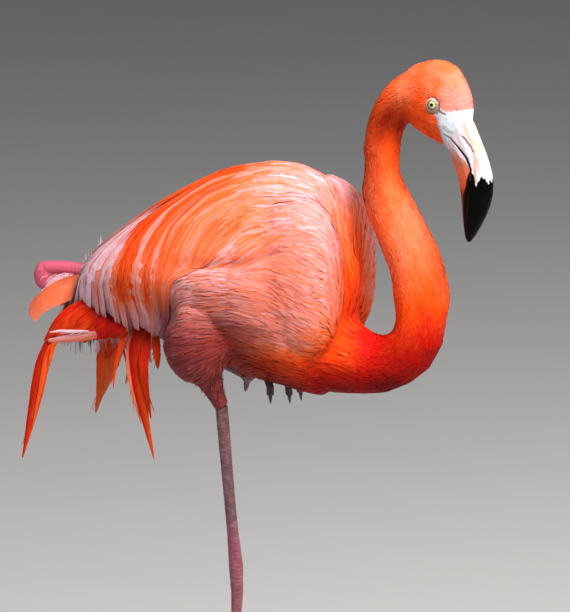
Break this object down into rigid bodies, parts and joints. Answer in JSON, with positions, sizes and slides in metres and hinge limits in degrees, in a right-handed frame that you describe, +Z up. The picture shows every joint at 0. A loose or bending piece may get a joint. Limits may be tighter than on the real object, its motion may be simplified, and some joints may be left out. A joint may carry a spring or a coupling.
{
  "type": "standing flamingo",
  "caption": "Life-size still model of an adult American flamingo resting on one webbed foot, the other leg folded under its body and the neck in a low S bend.",
  "frame": {"origin": "middle of the sole of the standing foot, on the floor", "axes": "+Z up; the bird faces -Y and its left side is +X"},
  "size_m": [0.2155, 0.5777, 0.8746],
  "materials": {
    "body_feathers": "soft overlapping feathers, coral red on the breast and pale pink on the flanks",
    "wing_feathers": "long soft feathers in pale pink, peach and orange",
    "neck_feathers": "short velvety orange-red feathers",
    "plume_feathers": "long loose orange-red feathers",
    "bill": "smooth horn, white at the base, pink below and black at the tip",
    "eye": "wet, pale yellow iris and a small dark pupil",
    "leg_skin": "scaly pink skin, darker on the feet",
    "claw": "dark horn with pale tips"
  },
  "bodies": {
    "root": {"trunk": "body_feathers", "thigh_right": "body_feathers", "thigh_left": "body_feathers", "wing_right": "wing_feathers", "wing_left": "wing_feathers", "neck_lower": "neck_feathers", "neck_middle": "neck_feathers", "neck_upper": "neck_feathers", "head": "neck_feathers", "tail": "plume_feathers", "plume_right_rear": "plume_feathers", "plume_right_front": "plume_feathers", "plume_left": "plume_feathers", "bill_upper": "bill", "bill_lower": "bill", "eye_right": "eye", "eye_left": "eye", "shank_right": "leg_skin", "shank_left": "leg_skin", "tarsus_right": "leg_skin", "tarsus_left": "leg_skin", "foot_right": "leg_skin", "foot_left": "leg_skin", "claw_right_inner": "claw", "claw_right_middle": "claw", "claw_right_outer": "claw", "claw_left_inner": "claw", "claw_left_middle": "claw", "claw_left_outer": "claw"}
  },
  "joints": []
}
